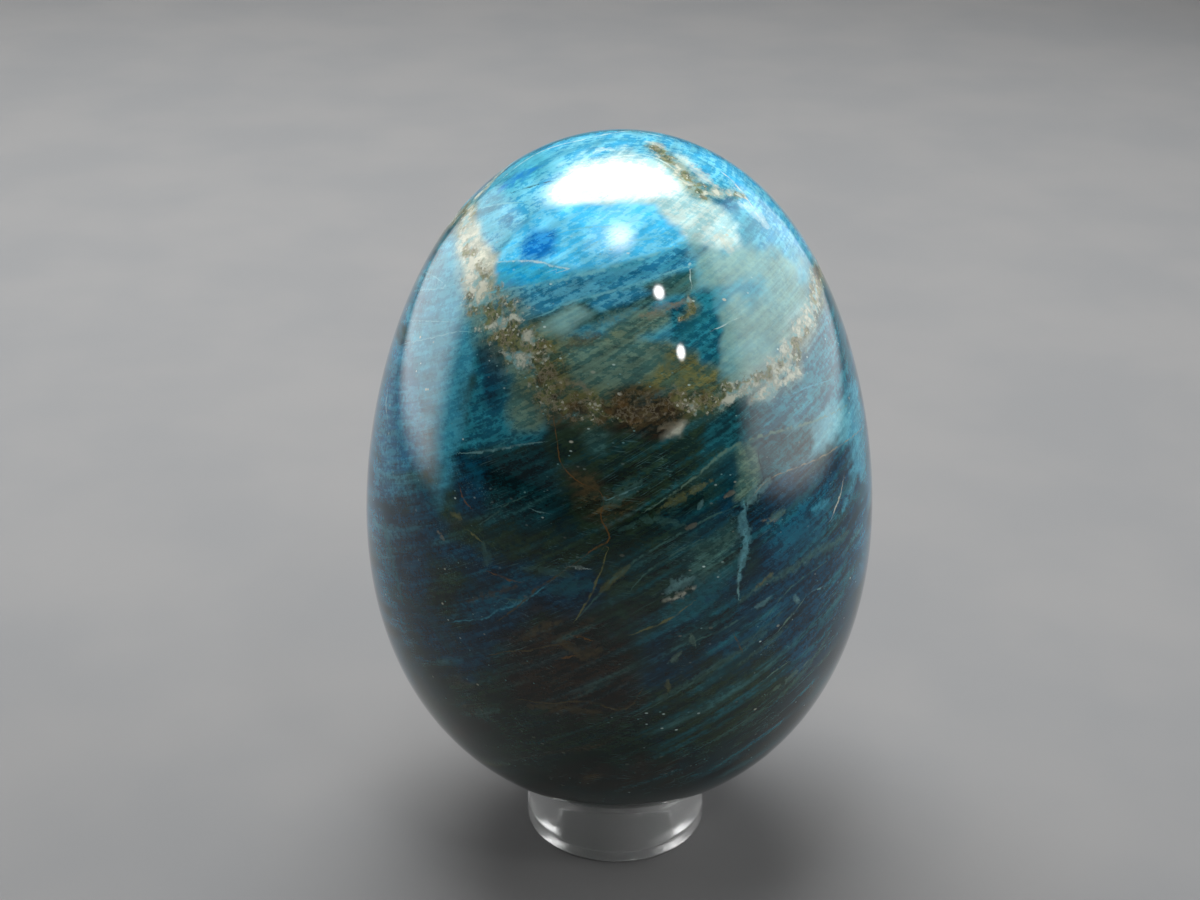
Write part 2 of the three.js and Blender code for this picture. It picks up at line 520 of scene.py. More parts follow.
def paint_sheets(stone):
    """Thin sheets of lighter and darker stone through every zone, fainter where the stone is pale."""
    thin = sheets(42, stone.points, 0.8, 11)
    broad = sheets(43, stone.points, 2.1, 16)
    pale = ramp(0.02, 0.3, stone.lightness())
    body = (1 - pale) * ramp(8, 22, stone.points[:, 2])
    blue_side = ramp(-10, 30, stone.azimuth) * ramp(-178, -150, -stone.azimuth)
    stone.lay(0.75 * body * ramp(0.15, 0.6, thin) * (0.35 + 0.65 * blue_side), TEAL)
    stone.lay(0.5 * body * ramp(0.4, 1.0, broad + 0.5 * thin), SPRUCE)
    stone.lay(0.5 * body * ramp(-0.3, -0.8, broad), ABYSS)
    stone.tone *= (1 + (0.35 - 0.2 * pale) * np.clip(thin, -1, 1))[:, None]
    patches = ramp(-0.1, 0.5, fractal(18, stone.points, 6))
    stone.streak = (1 - 0.8 * ramp(0.03, 0.3, stone.lightness())) * (0.35 + 0.65 * patches)


# Main vein, a closed loop: pixel, or azimuth and height behind, half width in millimetres, how brown it is

MAIN_VEIN_IN_FRONT = [
    (469, 207, 0.9, 0.5), (466, 236, 1, 0.1), (475, 275, 1.1, 0.1), (485, 302, 1.6, 0.35),
    (503, 322, 1.7, 0.3), (522, 345, 1.7, 0.35), (541, 368, 1.6, 0.4), (552, 398, 1.2, 0.75),
    (570, 406, 1.1, 0.7), (592, 407, 1.1, 0.55), (620, 411, 1, 0.8), (650, 409, 1.1, 0.95),
    (683, 401, 0.9, 0.6), (711, 402, 0.7, 0.25), (735, 391, 0.6, 0.15), (762, 378, 0.8, 0.1),
    (785, 360, 1, 0.15), (798, 338, 1, 0.1), (808, 320, 1, 0.1), (817, 296, 0.9, 0.3), (818, 274, 0.7, 0.5),
]
MAIN_VEIN_BEHIND = [
    (98, 61.5, 0.9, 0.3), (122, 56, 1.5, 0.4), (148, 50, 1.2, 0.7), (172, 47, 1.7, 0.5),
    (-162, 51, 1.1, 0.8), (-138, 57, 1.6, 0.3), (-115, 63, 1.2, 0.2), (-96, 67.5, 0.9, 0.4),
]

# Branches of gritty stone, in the same form

BRANCHES_IN_FRONT = [
    [(655, 146, 0.5, 0.3), (668, 160, 0.7, 0.4), (686, 177, 0.7, 0.5), (702, 190, 0.7, 0.3),
     (724, 193, 0.5, 0.2), (745, 197, 0.3, 0.2)],
    [(752, 400, 0.3, 0.1), (768, 389, 0.6, 0.1), (784, 381, 0.6, 0.15), (796, 370, 0.5, 0.1),
     (800, 352, 0.4, 0.1)],
    [(690, 300, 0.3, 0.3), (690, 310, 0.5, 0.4), (684, 318, 0.3, 0.5)],
    [(468, 207, 0.6, 0.3), (482, 192, 0.6, 0.1), (497, 176, 0.4, 0.1), (512, 162, 0.2, 0)],
]
BRANCHES_BEHIND = [
    [(130, 54, 0.6, 0.4), (136, 47, 0.9, 0.7), (131, 40, 0.6, 0.8), (137, 32, 0.4, 0.9), (133, 26, 0.2, 1)],
    [(-150, 54, 0.6, 0.3), (-146, 61, 0.8, 0.2), (-152, 67, 0.5, 0.1), (-170, 71, 0.3, 0.1)],
    [(-112, 61, 0.5, 0.3), (-106, 52, 0.7, 0.6), (-111, 44, 0.4, 0.9), (-104, 36, 0.3, 0.9)],
]


def all_veins():
    main = on_egg(seen, MAIN_VEIN_IN_FRONT) + on_egg(around, MAIN_VEIN_BEHIND)
    branches = [on_egg(seen, branch) for branch in BRANCHES_IN_FRONT]
    branches += [on_egg(around, branch) for branch in BRANCHES_BEHIND]
    return [main + main[:1], *branches]


def add_grit(stone, vein, wander):
    """Marks the points near a vein with how deep in it they lie and how brown it is there."""
    places, half_widths, browns = zip(*vein)
    curve = curve_through(places)
    spans = np.linalg.norm(np.diff(np.array(places), axis=0), axis=1)
    marks = np.concatenate([[0], np.cumsum(spans)]) / spans.sum()
    distance, share = beside(stone.points, stone.normals, curve)
    reading = 1 - np.abs(distance + wander) / np.interp(share, marks, half_widths)
    stronger = reading > stone.grit
    stone.grit[stronger] = reading[stronger]
    stone.brown[stronger] = np.interp(share, marks, browns)[stronger]


# Fine lines of each tone: half width in millimetres, then x and y of each pixel that they pass

PALE_LINES = [
    (ICE, [(0.12, 497, 262, 520, 261, 541, 262, 552, 266, 572, 269),
     (0.15, 505, 176, 540, 152, 581, 140, 612, 133, 633, 131, 660, 136, 700, 146),
     (0.11, 612, 158, 644, 155, 666, 163, 681, 176), (0.08, 690, 264, 690, 274, 691, 284),
     (0.08, 388, 388, 386, 404, 388, 422), (0.07, 713, 330, 724, 325, 738, 318),
     # Short white dash: a painted glint
     (0.2, 574, 567, 578, 568, 583, 568)]),
    (LAGOON, [(0.2, 484, 294, 497, 291, 551, 282, 583, 274, 614, 266, 652, 255, 688, 240),
     (0.14, 528, 320, 545, 314, 567, 303, 592, 296, 630, 286, 661, 275, 692, 265),
     (0.12, 482, 208, 500, 204, 527, 202), (0.09, 414, 291, 436, 289, 456, 284, 470, 279),
     (0.07, 425, 272, 437, 278, 448, 287), (0.07, 400, 322, 420, 321, 452, 322),
     (0.08, 402, 345, 430, 338, 462, 331, 476, 335)]),
    (SKY, [(0.08, 548, 236, 580, 228, 612, 226, 640, 220), (0.08, 600, 250, 626, 241, 652, 238, 676, 228)]),
    (MIST, [(0.12, 461, 453, 480, 452, 500, 449, 520, 445, 541, 442), (0.14, 739, 574, 738, 585, 739, 597),
     (0.1, 811, 592, 824, 586), (0.08, 533, 510, 540, 512, 547, 513),
     (0.08, 607, 500, 622, 494, 640, 486)]),
    (TAN, [(0.09, 862, 428, 842, 444, 824, 456, 795, 468, 768, 480, 748, 501)]),
    (SPRUCE, [(0.12, 748, 501, 722, 512, 696, 525, 661, 545, 627, 566, 605, 586),
     (0.12, 639, 559, 614, 579, 599, 595, 578, 618), (0.14, 743, 617, 727, 627, 709, 635, 690, 644),
     (0.1, 480, 524, 498, 512, 507, 504, 530, 494), (0.1, 492, 595, 516, 600, 530, 597),
     (0.12, 700, 540, 676, 553, 650, 570, 632, 588), (0.1, 828, 560, 800, 580, 776, 604, 752, 640),
     (0.1, 720, 660, 694, 682, 664, 700, 634, 716)]),
    (SAGE, [(0.17, 846, 406, 809, 423, 780, 431, 757, 438, 726, 451, 692, 480, 648, 510),
     (0.13, 803, 601, 794, 612, 779, 630), (0.1, 787, 663, 774, 672, 763, 681)]),
    (OLIVE, [(0.12, 690, 604, 668, 620, 644, 630, 631, 635)]),
    (CREAM, [(0.14, 843, 480, 840, 496, 832, 517),
     (0.12, 716, 168, 727, 176, 742, 192, 748, 200, 758, 216)]),
    (TURQUOISE, [(0.11, 455, 621, 486, 618, 498, 610, 520, 603, 551, 582),
     (0.09, 830, 380, 806, 388, 784, 398)]),
    (BARK, [(0.14, 520, 699, 538, 702, 555, 703, 575, 701, 598, 704, 620, 710, 633, 704, 640, 692)]),
    (TEAL, [(0.12, 846, 580, 824, 606, 800, 640, 774, 668)]),
]

DEEP_LINES = [
    (RUST, [(0.06, 553, 412, 557, 440, 561, 463, 568, 472, 581, 483, 599, 491, 604, 500),
     (0.08, 604, 500, 601, 517, 607, 529, 610, 540, 599, 546, 584, 556, 570, 567),
     (0.1, 460, 488, 463, 498, 469, 506), (0.13, 492, 573, 504, 578, 518, 582),
     (0.2, 562, 658, 566, 657, 571, 656), (0.14, 572, 636, 580, 637, 589, 639)]),
    (BARK, [(0.13, 567, 568, 550, 581, 538, 587, 530, 596, 516, 608, 498, 621),
     (0.1, 490, 655, 510, 651, 530, 650, 552, 645, 572, 643), (0.12, 640, 402, 664, 399, 700, 402),
     (0.12, 735, 636, 738, 643, 741, 649)]),
    (OLIVE, [(0.12, 607, 551, 600, 574, 589, 598, 576, 620), (0.12, 467, 530, 474, 535, 480, 540)]),
    (NAVY, [(0.15, 514, 192, 530, 187, 551, 181), (0.08, 758, 452, 761, 466, 764, 480)]),
]

# Broad ragged strokes, in the same form

SMEARS = [
    (STEEL, [(0.8, 540, 164, 580, 147, 612, 140, 640, 141), (0.9, 676, 152, 694, 158, 710, 166)]),
    (COBALT, [(1.2, 502, 188, 518, 177, 536, 168)]),
    (LAKE, [(0.6, 722, 172, 738, 182, 752, 194)]),
    (CREAM, [(0.6, 646, 142, 655, 144, 664, 149), (0.7, 686, 160, 696, 169, 704, 178, 716, 186),
     (0.8, 715, 238, 724, 240, 731, 250), (0.25, 663, 601, 678, 597, 695, 587)]),
    (ICE, [(0.6, 592, 153, 601, 150, 612, 150), (0.9, 742, 205, 758, 214, 766, 226)]),
    (MIST, [(0.6, 748, 504, 757, 491, 768, 481), (0.2, 703, 499, 701, 504, 698, 509),
     (0.6, 668, 592, 678, 584, 692, 578), (0.25, 772, 596, 764, 602, 752, 610),
     (0.3, 794, 596, 797, 600, 800, 602)]),
    (LAGOON, [(0.5, 744, 502, 743, 520, 746, 543, 742, 562, 739, 580)]),
    (SAGE, [(0.4, 787, 510, 777, 516, 768, 523), (0.3, 689, 633, 693, 640, 697, 647),
     (0.3, 681, 652, 675, 658, 668, 663), (0.6, 600, 322, 622, 316, 646, 312)]),
    (TAN, [(0.25, 760, 520, 772, 521, 780, 514), (0.25, 724, 498, 730, 494, 736, 491),
     (0.2, 686, 529, 692, 526, 698, 522), (0.25, 437, 530, 441, 535, 444, 540),
     (0.5, 640, 316, 656, 312, 672, 305, 684, 301),
     (0.35, 539, 366, 552, 376, 566, 384, 583, 386, 592, 402), (0.35, 630, 412, 642, 415, 658, 418),
     (0.4, 658, 430, 668, 426, 680, 424)]),
    (TEAL, [(1.3, 736, 566, 716, 582, 700, 600, 676, 618), (0.8, 852, 572, 838, 600, 818, 628),
     (1, 553, 590, 572, 587, 591, 583), (0.8, 384, 520, 392, 560, 402, 600),
     (0.8, 676, 340, 690, 328, 704, 316)]),
    (OLIVE, [(0.5, 754, 590, 763, 582, 772, 574), (0.25, 668, 680, 668, 686, 667, 692),
     (0.4, 452, 514, 456, 516, 461, 518), (0.3, 630, 566, 614, 579, 600, 592),
     (0.4, 660, 508, 688, 494, 712, 480)]),
    (SPRUCE, [(0.5, 848, 532, 838, 541, 816, 552, 792, 569, 763, 584, 740, 601),
     (0.5, 830, 632, 806, 668, 776, 700), (0.45, 483, 543, 487, 558, 486, 566),
     (0.35, 522, 568, 538, 569, 553, 573, 573, 578), (0.7, 606, 505, 622, 495, 640, 480),
     (0.4, 620, 530, 650, 520, 684, 524), (0.8, 644, 366, 660, 362, 676, 366)]),
    (TURQUOISE, [(0.6, 812, 509, 820, 506, 828, 501), (0.6, 858, 470, 850, 492, 842, 512)]),
    (STRAIT, [(1.4, 812, 530, 798, 531, 786, 536), (0.9, 466, 464, 476, 472, 480, 488)]),
    (DEEP_TEAL, [(1, 760, 640, 730, 668, 700, 690), (1, 410, 600, 430, 620, 450, 650)]),
    (BARK, [(0.6, 576, 478, 588, 482, 599, 490), (0.7, 560, 640, 580, 655, 600, 650),
     (0.5, 524, 640, 540, 628, 560, 622), (0.6, 530, 706, 560, 708, 600, 712),
     (0.6, 567, 345, 583, 340, 602, 335)]),
    (MOSS, [(0.7, 678, 384, 690, 376, 702, 382)]),
]


def in_front(groups):
    """Each line of those groups, with its pixels turned into points on the egg."""
    return [
        (colour, half_width, [seen(*pixel) for pixel in pairs(pixels)])
        for colour, lines in groups
        for half_width, *pixels in lines
    ]


def sheet_line(level, start, end):
    """Places along the sheet at that level, between two azimuths."""
    heights = np.linspace(egg_low[2] + 1, egg_high[2] - 1, 400)
    places = []
    for azimuth in np.arange(start, end + 1, 12):
        meridian = around(azimuth, heights)
        places.append(meridian[np.argmin(np.abs(meridian @ sheet_normal - level))])
    return places


def lines_round_the_back(random):
    """Fine pale lines of the sheets that crop out on the sides and the back."""
    lines = []
    for level in np.arange(16, 62, 2.6):
        start = random.uniform(88, 210)
        end = start + random.uniform(36, 84)
        colour = (SAGE, MIST, CREAM, LAGOON)[random.integers(4)]
        width = random.uniform(0.08, 0.18)
        places = sheet_line(level + random.uniform(-0.8, 0.8), start, min(end, 282))
        lines.append((colour, width, places))
    return lines


# Short streaks: how many, narrowest and widest half width in millimetres, and longest in degrees

FINE_STREAKS = (160, 0.05, 0.13, 38)
BROAD_STREAKS = (90, 0.2, 0.6, 26)
STREAK_TONES = [TEAL, SPRUCE, SAGE, TEAL]
BLUE_SIDE_TONES = [STRAIT, SPRUCE]
BROWN_SIDE_TONES = [OLIVE, BARK]


def short_streaks(random, count, narrowest, widest, longest):
    """Short streaks along the sheets, below the crown."""
    streaks = []
    for _ in range(count):
        forward = random.random() < 0.5
        azimuth = random.uniform(8, 100) if forward else random.uniform(100, 330)
        level = random.uniform(4, 50)
        tones = STREAK_TONES + (BLUE_SIDE_TONES if forward else BROWN_SIDE_TONES)
        colour = tones[random.integers(len(tones))]
        places = sheet_line(level, azimuth, azimuth + random.uniform(13, longest))
        if len(places) > 1 and max(place[2] for place in places) < 54:
            streaks.append((colour, random.uniform(narrowest, widest), places))
    return streaks


LINE_SPACING = 1.7  # millimetres


def spaced(lines, earlier):
    """Those lines that keep their distance from the earlier ones and from each other."""
    taken = [curve_through(places) for _, _, places in earlier]
    kept = []
    for line in lines:
        curve = curve_through(line[2])
        gaps = [np.linalg.norm(curve[:, None] - other[None], axis=2).min() for other in taken]
        if min(gaps) > LINE_SPACING:
            kept.append(line)
            taken.append(curve)
    return kept


FARTHEST = 20.0  # half widths


def draw_lines(stone, lines):
    """Signed distance to the nearest line in its half widths, and the line's colour and strength."""
    count = len(stone.points)
    reading = np.full(count, FARTHEST)
    paint = np.zeros((count, 4))
    for colour, half_width, places in lines:
        curve = curve_through(places)
        reach = 0.6 + 2 * half_width
        low, high = curve.min(axis=0) - reach, curve.max(axis=0) + reach
        near = np.flatnonzero(((stone.points > low) & (stone.points < high)).all(axis=1))
        distance, share = beside(stone.points[near], stone.normals[near], curve)
        taper = 0.45 + 0.55 * np.sin(math.pi * np.clip(share, 0.02, 0.98))
        value = np.clip(distance / (half_width * taper), -FARTHEST, FARTHEST)
        nearer = np.abs(value) < np.abs(reading[near])
        near = near[nearer]
        reading[near] = value[nearer]
        paint[near, :3] = colour[:3]
        paint[near, 3] = ramp(reach, reach / 2, np.abs(distance[nearer]))
    return reading, paint


# Small chips out of the polish: place, radius and depth in millimetres

CHIPS_IN_FRONT = [(466, 203, 0.9, 0.22), (819, 262, 0.8, 0.2), (553, 402, 0.5, 0.12), (631, 707, 0.4, 0.1)]
CHIPS_BEHIND = [(141, 46, 0.8, 0.2), (-133, 58, 0.7, 0.2)]
GRIT_DEPTH = 0.07


def carve(stone):
    """Wears the gritty vein a little below the polish and breaks out the chips, only ever inward."""
    rough = 0.6 + 0.5 * fractal(31, stone.points, 0.9, 2)
    depth = GRIT_DEPTH * ramp(-0.1, 0.5, stone.grit) * np.clip(rough, 0.1, 1.3)
    for place, radius, deep in on_egg(seen, CHIPS_IN_FRONT) + on_egg(around, CHIPS_BEHIND):
        away = np.linalg.norm(stone.points - place, axis=1) / radius
        depth = np.maximum(depth, deep * ramp(1, 0.5, away + 0.25 * rough))
    return stone.points - stone.normals * depth[:, None]


# Materials


class Nodes:
    """Short ways to build nodes. A value is a number, a tuple, a tone or another node's socket."""

    def __init__(self, owner):
        owner.use_nodes = True
        self.tree = owner.node_tree

    def add(self, kind, inputs=None, **settings):
        node = self.tree.nodes.new(kind)
        for setting, value in settings.items():
            setattr(node, setting, value)
        for key, value in (inputs or {}).items():
            self.put(node.inputs[key], value)
        return node

    def put(self, socket, value):
        if isinstance(value, bpy.types.NodeSocket):
            self.tree.links.new(value, socket)
        elif isinstance(value, np.ndarray):
            socket.default_value = (*value[:3], 1)
        else:
            socket.default_value = value

    def math(self, operation, first, second=0.0, third=0.0):
        return self.add("ShaderNodeMath", {0: first, 1: second, 2: third}, operation=operation).outputs[0]

    def times(self, first, second):
        return self.math("MULTIPLY", first, second)

    def plus(self, first, second):
        return self.math("ADD", first, second)

    def ease(self, value, start, end, low=0.0, high=1.0):
        """Low before start, high after end, and smooth between them."""
        inputs = {"Value": value, "From Min": start, "From Max": end, "To Min": low, "To Max": high}
        if start > end:
            inputs.update({"From Min": end, "From Max": start, "To Min": high, "To Max": low})
        return self.add("ShaderNodeMapRange", inputs, interpolation_type="SMOOTHSTEP").outputs[0]


class Surface(Nodes):
    """Nodes of a material whose patterns are measured in millimetres."""

    def __init__(self, name):
        self.material = bpy.data.materials.new(name)
        super().__init__(self.material)
        metres = self.add("ShaderNodeTexCoord").outputs["Object"]
        self.place = self.add("ShaderNodeMapping", {"Vector": metres, "Scale": (1 / MM,) * 3}).outputs[0]

    def finished(self, inputs):
        """The material, once its shader has those inputs."""
        shader = self.tree.nodes["Principled BSDF"]
        for key, value in inputs.items():
            self.put(shader.inputs[key], value)
        return self.material

    def mix(self, amount, under, over, blend_type="MIX"):
        node = self.add("ShaderNodeMix", {0: amount}, data_type="RGBA", blend_type=blend_type)
        self.put(node.inputs[6], under)
        self.put(node.inputs[7], over)
        return node.outputs[2]

    def grain(self, size, turn=(0, 0, 0)):
        """The place in a turned grain whose cells have that size, or those three sizes, in millimetres."""
        scale = size if isinstance(size, tuple) else (size,) * 3
        mapping = self.add("ShaderNodeMapping", {"Vector": self.place, "Scale": scale, "Rotation": turn})
        mapping.vector_type = "TEXTURE"
        return mapping.outputs[0]

    def noise(self, size, detail=2, turn=(0, 0, 0), roughness=0.5):
        inputs = {"Vector": self.grain(size, turn), "Scale": 1, "Detail": detail, "Roughness": roughness}
        return self.add("ShaderNodeTexNoise", inputs).outputs[0]

    def cells(self, size, turn=(0, 0, 0), output="Distance"):
        inputs = {"Vector": self.grain(size, turn), "Scale": 1}
        return self.add("ShaderNodeTexVoronoi", inputs).outputs[output]

    def attribute(self, name, output="Color"):
        return self.add("ShaderNodeAttribute", attribute_name=name).outputs[output]

    def bump(self, strength, depth, height):
        """The normal over a relief of that depth in millimetres."""
        inputs = {"Strength": strength, "Distance": depth * MM, "Height": height}
        return self.add("ShaderNodeBump", inputs).outputs[0]


# Turns of the two grains

FIBRE_TURN = (0.12, 0.1, 0)
SHEET_TURN = turned_to(sheet_along, sheet_across, sheet_normal).to_euler()

# Painted lines: attribute, reading of the whole core, strength that unbroken stretches add, least strength

LINE_KINDS = [("smear", 0.1, 0.4, 0.35), ("pale_line", 0.2, 0.6, 0.2), ("deep_line", 0.2, 0.6, 0.25)]

# Specks: spacing and radius in millimetres, share of the places left bare, and tone

SPECKS = [(0.9, 0.1, 0.66, ICE), (0.5, 0.13, 0.82, MIST), (1.6, 0.08, 0.4, CREAM)]


def stone_material():
    """Polished veined stone: painted colour, fine level fibres, specks, fine lines and a gritty vein."""
    nodes = Surface("polished_stone")
    mix, ease, noise, times, plus = nodes.mix, nodes.ease, nodes.noise, nodes.times, nodes.plus
    traits = nodes.add("ShaderNodeSeparateColor", {0: nodes.attribute("stone_traits")})
    streaky, glittery, brown = traits.outputs
    grit = nodes.attribute("grit", "Fac")

    layered = noise((4.5, 3, 0.5), 4, SHEET_TURN, roughness=0.62)
    grainy = noise((0.9, 0.45, 0.45), 4, FIBRE_TURN, roughness=0.7)
    marbling = ease(plus(layered, grainy), 0.93, 1.07)
    colour = mix(marbling, nodes.attribute("stone_colour"), nodes.attribute("stone_marbling"))

    grain = ease(noise(0.17), 0.3, 0.7, -0.2, 0.2)
    thin_sheets = ease(noise((7, 5, 0.22), 3, SHEET_TURN), 0.3, 0.7, -0.4, 0.4)
    fibres = noise((2.8, 0.1, 0.1), 2, FIBRE_TURN, roughness=0.6)
    wide_fibres = ease(noise((6.5, 0.4, 0.4), 2, FIBRE_TURN), 0.3, 0.7, -0.3, 0.3)
    change = plus(plus(grain, thin_sheets), wide_fibres)
    cloud = ease(noise(2.6, 3), 0.3, 0.7, 0.85, 1.15)
    depth = nodes.math("MULTIPLY_ADD", change, nodes.math("MULTIPLY_ADD", streaky, 0.8, 0.1), cloud)
    shade = nodes.add("ShaderNodeCombineColor", {0: depth, 1: depth, 2: depth}).outputs[0]
    colour = mix(1.0, colour, shade, "MULTIPLY")

    level_hairs = times(ease(fibres, 0.58, 0.7), ease(noise(2.6), 0.44, 0.6))
    sheet_hairs = ease(noise((2.4, 1.6, 0.09), 2, SHEET_TURN), 0.6, 0.72)
    sheet_hairs = times(sheet_hairs, ease(noise(3.1), 0.44, 0.6))
    for hairs, strength in ((level_hairs, 0.42), (sheet_hairs, 0.36)):
        colour = mix(times(hairs, times(streaky, strength)), colour, MIST)
    dark_hairs = times(ease(fibres, 0.44, 0.3), streaky)
    colour = mix(times(dark_hairs, 0.6), colour, ABYSS)

    for size, radius, bare, tint in SPECKS:
        cell = (size * 1.8, size, size)
        dot = ease(nodes.cells(cell, FIBRE_TURN), radius * 1.3, radius * 0.6)
        tag = nodes.add("ShaderNodeSeparateColor", {0: nodes.cells(cell, FIBRE_TURN, "Color")})
        chosen = nodes.math("GREATER_THAN", tag.outputs[0], bare)
        colour = mix(times(dot, times(chosen, glittery)), colour, tint)

    ragged_edge = ease(noise(0.8, 4, roughness=0.65), 0.25, 0.75, -1, 1)
    unbroken = ease(noise(0.8, 3), 0.4, 0.56)
    for name, core, added, least in LINE_KINDS:
        reading = plus(nodes.attribute(name, "Fac"), ragged_edge)
        line = ease(nodes.math("ABSOLUTE", reading), 1.4, core)
        line = times(line, nodes.attribute(name + "_colour", "Alpha"))
        line = times(line, nodes.math("MULTIPLY_ADD", unbroken, added, least))
        colour = mix(line, colour, nodes.attribute(name + "_colour"))

    ragged = ease(noise(1, 4, roughness=0.7), 0.25, 0.75, -0.9, 0.9)
    in_vein = ease(plus(grit, ragged), -0.35, 0.55)
    grain_tone = nodes.add("ShaderNodeSeparateColor", {0: nodes.cells(0.22, output="Color")}).outputs[0]
    threads = nodes.math("ABSOLUTE", nodes.math("SUBTRACT", noise(0.9, 4, roughness=0.6), 0.5))
    threads = ease(threads, 0.05, 0)
    sparks = nodes.math("GREATER_THAN", grain_tone, 0.93)
    pale = mix(ease(noise(0.9, 4, roughness=0.6), 0.36, 0.62), MIST, CREAM)
    pale = mix(times(threads, 0.5), pale, TAN)
    middle = mix(ease(noise(0.6, 4, roughness=0.7), 0.4, 0.64, 0, 0.8), OLIVE, PINE)
    middle = mix(times(threads, 0.85), middle, TAN)
    middle = mix(times(sparks, 0.7), middle, CREAM)
    earthy = mix(ease(noise(0.5, 4, roughness=0.7), 0.42, 0.58), UMBER, BARK)
    earthy = mix(times(threads, 0.6), earthy, TAN)
    rusty = times(ease(noise(1.6), 0.55, 0.68, 0, 0.55), brown)
    earthy = mix(rusty, earthy, RUST)
    browned = plus(brown, ease(noise(1.9, 3), 0.3, 0.7, -0.3, 0.3))
    vein = mix(ease(browned, 0.15, 0.35), pale, middle)
    vein = mix(ease(browned, 0.5, 0.75), vein, earthy)
    colour = mix(times(in_vein, 0.85), colour, vein)

    handled = ease(noise(4, 3), 0.35, 0.75, 0.045, 0.075)
    relief = nodes.math("MULTIPLY_ADD", noise(1.4), 0.03, times(noise(0.35, 3), in_vein))
    return nodes.finished({
        "Base Color": colour,
        "Roughness": nodes.math("MULTIPLY_ADD", in_vein, 0.1, handled),
        "IOR": 1.52,
        "Normal": nodes.bump(0.35, 0.05, relief),
    })


def acrylic_material():
    """Clear polished tube with faint marks of the saw and of handling."""
    nodes = Surface("clear_acrylic")
    clouds = nodes.ease(nodes.noise(3), 0.3, 0.7)
    turning = nodes.noise((4, 4, 0.12))
    return nodes.finished({
        "Base Color": nodes.mix(clouds, (0.96, 0.98, 0.97, 1), (0.98, 0.98, 0.98, 1)),
        "Transmission Weight": 0.84,
        "IOR": 1.49,
        "Roughness": nodes.ease(turning, 0.3, 0.8, 0.1, 0.18),
        "Normal": nodes.bump(0.02, 0.02, turning),
    })


def floor_material():
    """Plain pale matt board."""
    nodes = Surface("pale_floor")
    paper = nodes.ease(nodes.noise(30, 3), 0.3, 0.7)
    colour = nodes.mix(paper, (0.16, 0.163, 0.166, 1), (0.176, 0.176, 0.176, 1))
    return nodes.finished({"Base Color": colour, "Roughness": 0.75})


# Egg

EGG_STEPS = 120
FRONT_CROWDING = 0.32  # draws the mesh's points together on the side that the photograph shows


def set_values(mesh, name, values):
    """Keeps a number, or a colour with or without its alpha, at each of the mesh's points."""
    kind, field = "FLOAT", "value"
    if values.ndim == 2:
        kind, field = "FLOAT_COLOR", "color"
        values = np.pad(values, ((0, 0), (0, 4 - values.shape[1])), constant_values=1)
    layer = mesh.attributes.new(name, kind, "POINT")
    layer.data.foreach_set(field, values.astype(np.float32).ravel())


def paint_veins(stone):
    """The gritty veins, and the paler or browner stone beside them."""
    wander = 0.45 * fractal(41, stone.points, 2.2)
    for vein in all_veins():
        add_grit(stone, vein, wander)
    nearness = ramp(-1.6, 0.1, stone.grit)
    brown = stone.brown
    stone.lay(0.45 * nearness * ramp(0.2, 0.05, brown), CREAM)
    stone.lay(0.55 * nearness * ramp(0.05, 0.3, brown) * ramp(0.8, 0.5, brown), OLIVE)
    stone.lay(0.5 * nearness * ramp(0.5, 0.8, brown), BARK)
    stone.glitter = np.maximum(stone.glitter, ramp(-2.5, -0.2, stone.grit))


def all_lines():
    """The lines of each kind, by the name of the attribute that they are drawn in."""
    random = np.random.default_rng(7)
    pale = in_front(PALE_LINES)
    others = lines_round_the_back(random) + short_streaks(random, *FINE_STREAKS)
    smears = in_front(SMEARS) + short_streaks(random, *BROAD_STREAKS)
    return {"pale_line": pale + spaced(others, pale), "deep_line": in_front(DEEP_LINES), "smear": smears}


def make_egg():
    directions, quads = sphere_grid(EGG_STEPS)
    directions = unit(directions + FRONT_CROWDING * camera_back)
    stone = PaintedStone(egg_surface(directions))
    for paint in (paint_all_round, paint_front, paint_veins, paint_sheets):
        paint(stone)
    egg = mesh_object("veined_egg", carve(stone), quads, stone_material())
    values = {
        "stone_colour": stone.tone[:, :3],
        "stone_marbling": stone.tone[:, 3:],
        "stone_traits": np.stack([stone.streak, stone.glitter, stone.brown], axis=1),
        "grit": stone.grit,
    }
    for name, lines in all_lines().items():
        values[name], values[name + "_colour"] = draw_lines(stone, lines)
    values["smear"] = np.abs(values["smear"])
    for name, at_points in values.items():
        set_values(egg.data, name, at_points)
    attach(egg, "egg")
    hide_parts("stone_egg")


# Ring stand: the frame's tube with the same rims, turned finer

RING_WALL = 3.175
RING_SHOULDER_RADIUS = 1
RING_SEAT_RADIUS = 0.6
RING_FOOT_RADIUS = 0.3
RING_TURN_STEPS = 192
RING_ARC_STEPS = 9


def arc(centre, radius, start, end):
    angles = np.radians(np.linspace(start, end, RING_ARC_STEPS + 1))
    return np.array(centre) + radius * np.stack([np.cos(angles), np.sin(angles)], axis=1)


